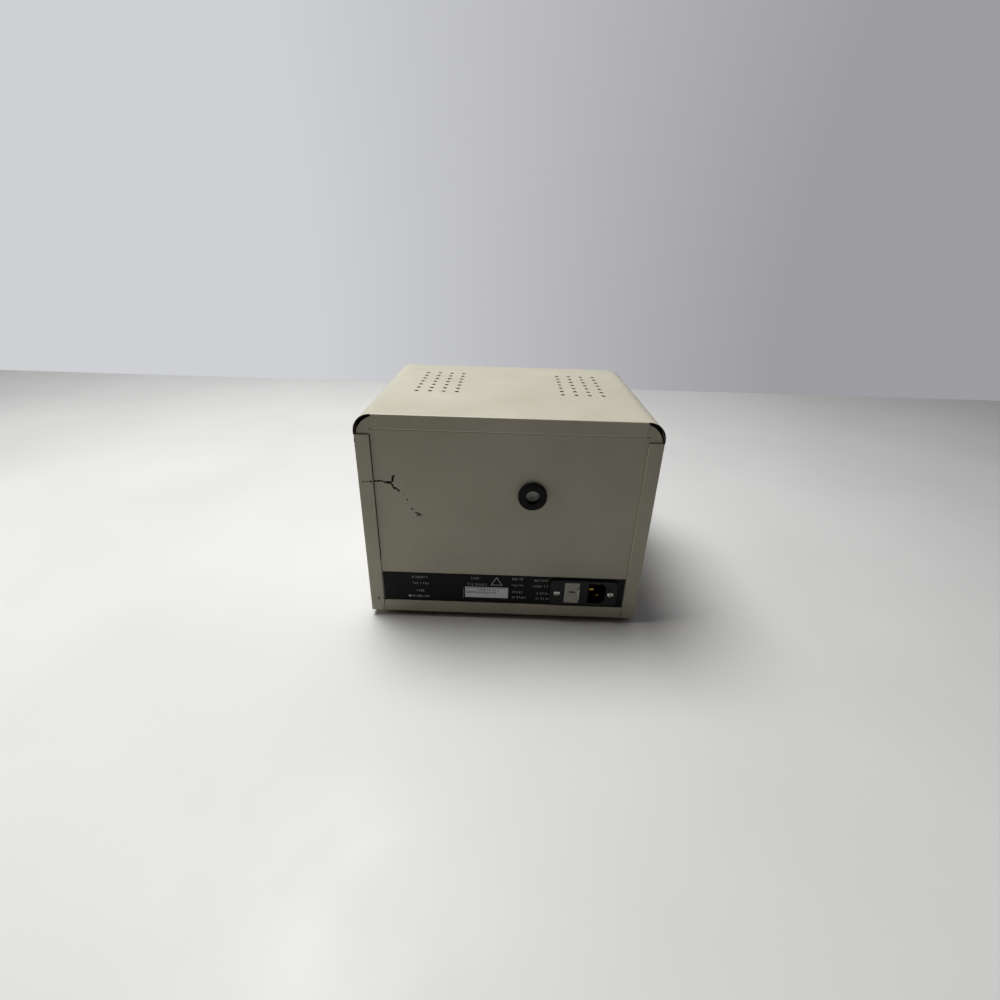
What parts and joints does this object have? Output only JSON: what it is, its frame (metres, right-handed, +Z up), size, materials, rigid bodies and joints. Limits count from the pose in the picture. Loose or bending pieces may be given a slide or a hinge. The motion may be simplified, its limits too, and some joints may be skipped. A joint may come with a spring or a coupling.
{
  "type": "dry block heater",
  "caption": "Bench dry block heater: steel rear tower with vents, inlet and cable port, low deck with lift-out drilled blocks under a clear hinged lid, sloping controls.",
  "frame": {"origin": "centre of the bounding box's footprint, on the bench under the feet", "axes": "+Z up; -Y towards the user, with lid and controls; +Y towards the mains inlet; +X to the right seen from the front"},
  "size_m": [0.256, 0.361, 0.204],
  "materials": {
    "case_paint": "putty powder coat over steel sheet, fine texture, satin",
    "block_aluminium": "machined and clear anodised, satin",
    "cast_aluminium": "cast, dull",
    "plated_steel": "zinc plated, satin",
    "black_plastic": "moulded, fine spark texture",
    "grey_plastic": "moulded, satin",
    "green_plastic": "moulded, satin",
    "rubber": "moulded, matt",
    "silicone_mat": "silicone sheet, matt",
    "mineral_wool": "pressed fibre board, matt",
    "clear_acrylic": "clear cast acrylic, polished",
    "red_window": "red tinted acrylic, polished",
    "lit_segments": "light emitting segments",
    "overlay_film": "printed polyester film, fine matt",
    "label_film": "printed polyester film, satin",
    "sticker_paper": "printed paper label, satin",
    "circuit_board": "glass epoxy board with green solder mask",
    "brass_blade": "drawn brass, bright",
    "black_aluminium": "extruded, black anodised",
    "lamination_steel": "stacked laminations, varnished",
    "winding_tape": "polyester tape over copper winding",
    "lead_pvc": "PVC insulated wire",
    "fuse_glass": "glass tube with plated end caps"
  },
  "bodies": {
    "console": {"tower_cover": "case_paint", "deck_cover": "case_paint", "rear_panel": "case_paint", "tower_front_panel": "case_paint", "base_pan": "case_paint", "front_fascia": "case_paint", "heating_well": "cast_aluminium", "temperature_sensor": "plated_steel", "well_bezel": "black_plastic", "heater_mat": "silicone_mat", "heater_clamp_plate": "cast_aluminium", "thermal_cutout": "plated_steel", "insulation_jacket": "mineral_wool", "well_posts": "plated_steel", "hinge_brackets": "plated_steel", "hinge_pins": "plated_steel", "control_overlay": "overlay_film", "display_window": "red_window", "display_module": "black_plastic", "display_digits": "lit_segments", "display_board": "circuit_board", "key_switches": "black_plastic", "switch_body": "black_plastic", "port_grommet": "rubber", "rear_label": "label_film", "rating_sticker": "sticker_paper", "inlet_housing": "black_plastic", "inlet_screws": "plated_steel", "terminal_blades": "brass_blade", "control_board": "circuit_board", "board_standoffs": "plated_steel", "heatsink": "black_aluminium", "triac": "black_plastic", "relay": "black_plastic", "capacitors": "black_plastic", "terminal_blocks": "green_plastic", "transformer_core": "lamination_steel", "transformer_winding": "winding_tape", "transformer_strap": "plated_steel", "earth_stud": "brass_blade", "inner_leads": "lead_pvc", "display_ribbon": "lead_pvc", "feet": "rubber", "pan_screws": "plated_steel", "case_screws": "plated_steel", "case_nuts": "plated_steel"},
    "lid": {"lid_visor": "clear_acrylic", "lid_handle": "black_plastic", "lid_knuckles": "plated_steel", "lid_screws": "plated_steel"},
    "left_block": {"block_left": "block_aluminium"},
    "right_block": {"block_right": "block_aluminium"},
    "rocker": {"power_rocker": "black_plastic"},
    "drawer": {"fuse_drawer": "grey_plastic", "fuses": "fuse_glass"},
    "plug": {"port_plug": "grey_plastic"},
    "key_cap_1": {"key_1": "grey_plastic"},
    "key_cap_2": {"key_2": "grey_plastic"},
    "key_cap_3": {"key_3": "grey_plastic"},
    "key_cap_4": {"key_4": "grey_plastic"}
  },
  "joints": [
    {"name": "lid_hinge", "type": "hinge", "parent": "console", "child": "lid", "pos_m": [0, -0.02555, 0.1657], "axis": [-1, 0, 0], "range_deg": [0, 95]},
    {"name": "block_left_lift", "type": "slide", "parent": "console", "child": "left_block", "axis": [0, 0, 1], "range_m": [0, 0.046]},
    {"name": "block_right_lift", "type": "slide", "parent": "console", "child": "right_block", "axis": [0, 0, 1], "range_m": [0, 0.046]},
    {"name": "power_rocker_tilt", "type": "hinge", "parent": "console", "child": "rocker", "pos_m": [0.088, -0.15628, 0.07973], "axis": [1, 0, 0], "range_deg": [0, 16]},
    {"name": "fuse_drawer_slide", "type": "slide", "parent": "console", "child": "drawer", "axis": [0, 1, 0], "range_m": [0, 0.026]},
    {"name": "port_plug_pull", "type": "slide", "parent": "console", "child": "plug", "axis": [0, 1, 0], "range_m": [0, 0.012]},
    {"name": "key_1_press", "type": "slide", "parent": "console", "child": "key_cap_1", "axis": [0, 0.7071, -0.7071], "range_m": [0, 0.0008], "stiffness_N_per_m": 500, "springref_m": -0.0012},
    {"name": "key_2_press", "type": "slide", "parent": "console", "child": "key_cap_2", "axis": [0, 0.7071, -0.7071], "range_m": [0, 0.0008], "stiffness_N_per_m": 500, "springref_m": -0.0012},
    {"name": "key_3_press", "type": "slide", "parent": "console", "child": "key_cap_3", "axis": [0, 0.7071, -0.7071], "range_m": [0, 0.0008], "stiffness_N_per_m": 500, "springref_m": -0.0012},
    {"name": "key_4_press", "type": "slide", "parent": "console", "child": "key_cap_4", "axis": [0, 0.7071, -0.7071], "range_m": [0, 0.0008], "stiffness_N_per_m": 500, "springref_m": -0.0012}
  ]
}
